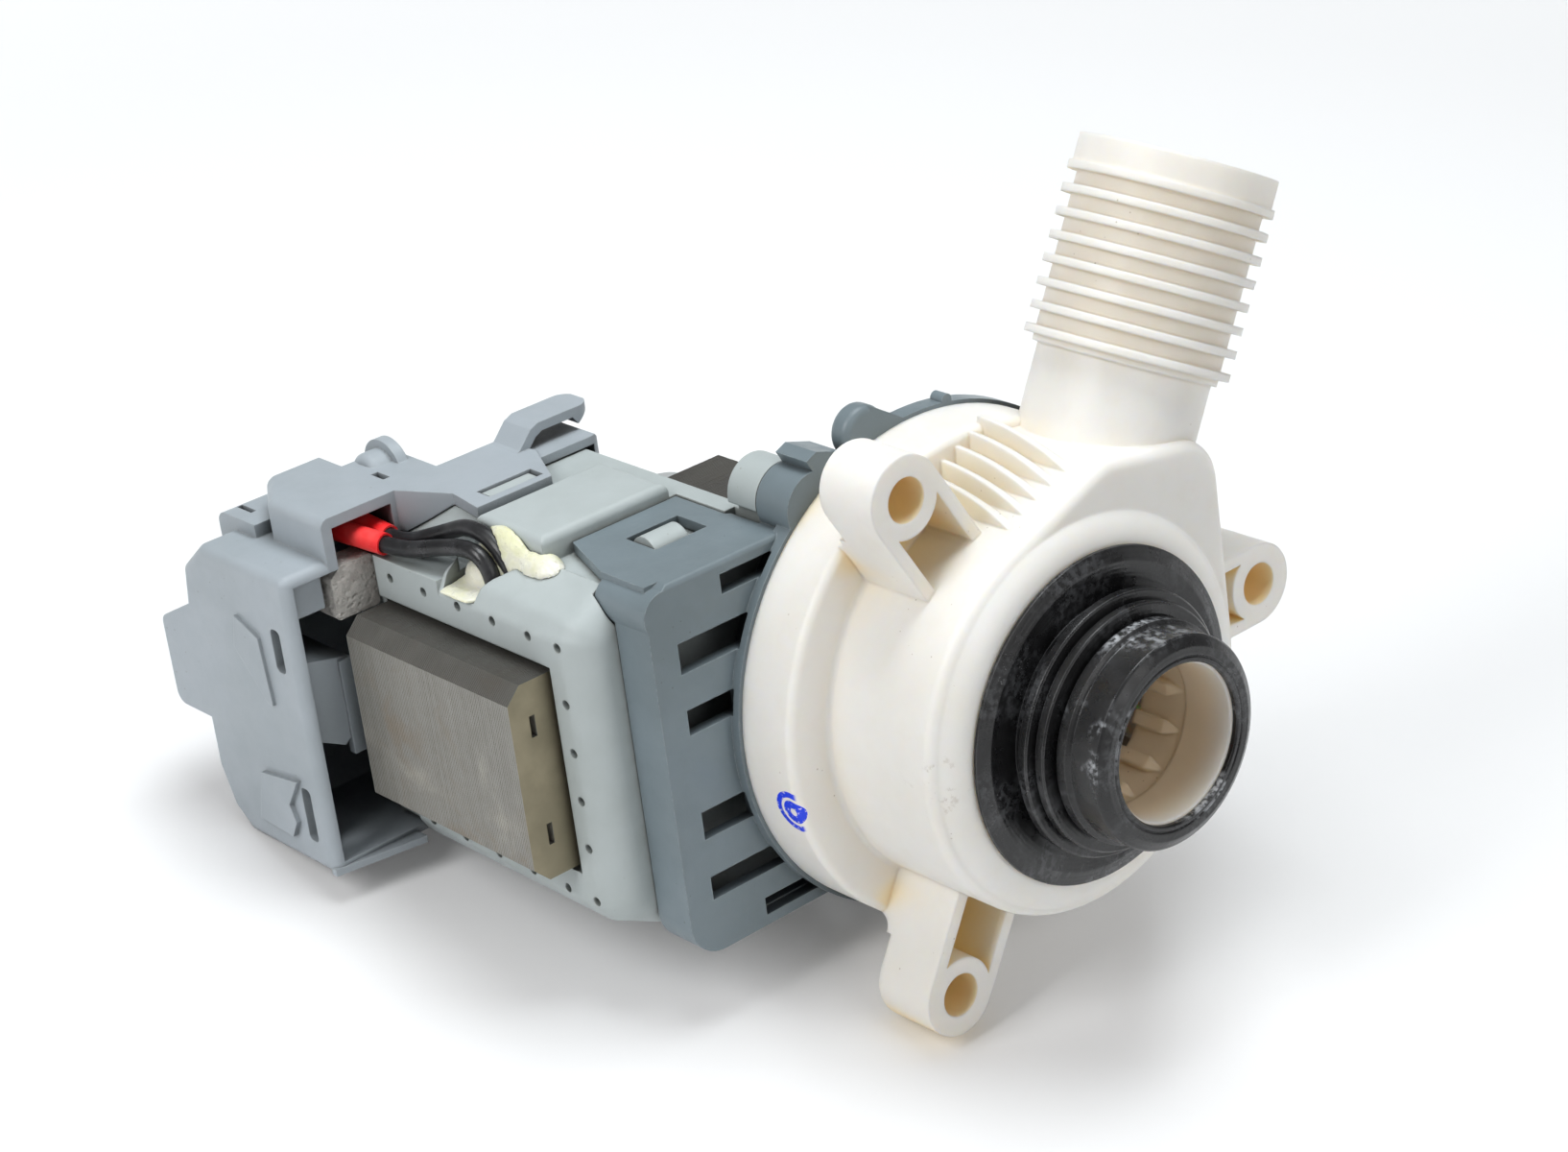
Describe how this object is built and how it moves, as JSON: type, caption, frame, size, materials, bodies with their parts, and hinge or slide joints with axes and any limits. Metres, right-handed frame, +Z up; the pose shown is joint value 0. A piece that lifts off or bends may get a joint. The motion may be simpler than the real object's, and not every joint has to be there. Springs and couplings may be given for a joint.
{
  "type": "washing machine drain pump",
  "caption": "Magnetic-rotor drain pump: three-lugged volute with ribbed outlet and stepped rubber inlet seal, vented bracket, resin-covered U-core stator and clip-on terminal cover.",
  "frame": {"origin": "centre of the inlet mouth, on the pump axis", "axes": "+X along the pump axis out of the inlet, +Z up as the motor sits level with its yoke at -Y, +Y towards the open side of the core"},
  "size_m": [0.1772, 0.1564, 0.1459],
  "materials": {
    "housing_plastic": "warm cream moulded plastic, satin",
    "seal_rubber": "black moulded rubber, dusty in the steps",
    "o_ring_rubber": "black rubber",
    "bracket_plastic": "blue-grey moulded plastic, satin",
    "can_plastic": "grey moulded plastic",
    "bearing_carbon": "dark carbon, smooth",
    "washer_plastic": "smooth bearing plastic",
    "shaft_steel": "ground steel",
    "hub_plastic": "pale moulded plastic",
    "magnet_ferrite": "dark sintered ferrite",
    "impeller_plastic": "grey moulded plastic",
    "core_steel": "stacked silicon steel sheets, dull, end sheet khaki",
    "bobbin_plastic": "pale moulded plastic",
    "winding_copper": "enamelled copper wire",
    "protector_case": "dark moulded case",
    "overmould_plastic": "pale green-grey moulded resin",
    "potting_resin": "cream cured sealing compound",
    "lead_insulation": "black wire insulation, slightly dusty",
    "sleeve_red": "red insulating sleeve",
    "cover_plastic": "light blue-grey moulded plastic",
    "terminal_tin": "tinned blade",
    "pad_foam": "grey closed-cell foam with a rough skin"
  },
  "bodies": {
    "housing": {"volute_housing": "housing_plastic", "inlet_seal": "seal_rubber", "housing_o_ring": "o_ring_rubber", "motor_bracket": "bracket_plastic", "rotor_can": "can_plastic", "front_bearing_holder": "can_plastic", "front_bearing": "bearing_carbon", "rear_bearing": "bearing_carbon", "front_bearing_grommet": "o_ring_rubber", "rear_bearing_grommet": "o_ring_rubber", "stator_core": "core_steel", "upper_bobbin": "bobbin_plastic", "lower_bobbin": "bobbin_plastic", "upper_coil": "winding_copper", "lower_coil": "winding_copper", "thermal_protector": "protector_case", "stator_overmould": "overmould_plastic", "potting_compound": "potting_resin", "lead_wire_1": "lead_insulation", "lead_wire_2": "lead_insulation", "red_sleeve_1": "sleeve_red", "red_sleeve_2": "sleeve_red", "terminal_carrier": "cover_plastic", "terminal_blade_1": "terminal_tin", "terminal_blade_2": "terminal_tin", "rear_cover": "cover_plastic", "cover_pad": "pad_foam"},
    "rotor": {"rotor_shaft": "shaft_steel", "rotor_hub": "hub_plastic", "rotor_magnet": "magnet_ferrite", "drive_dog": "hub_plastic", "front_thrust_washer": "washer_plastic", "rear_thrust_washer": "washer_plastic"},
    "impeller": {"impeller": "impeller_plastic", "impeller_cap": "impeller_plastic", "coupling_damper": "o_ring_rubber"}
  },
  "joints": [
    {"name": "rotor_spin", "type": "hinge", "parent": "housing", "child": "rotor", "pos_m": [-0.1, 0, 0], "axis": [1, 0, 0], "continuous": true},
    {"name": "impeller_play", "type": "hinge", "parent": "rotor", "child": "impeller", "pos_m": [-0.04, 0, 0], "axis": [1, 0, 0], "range_deg": [-115, 115]}
  ]
}
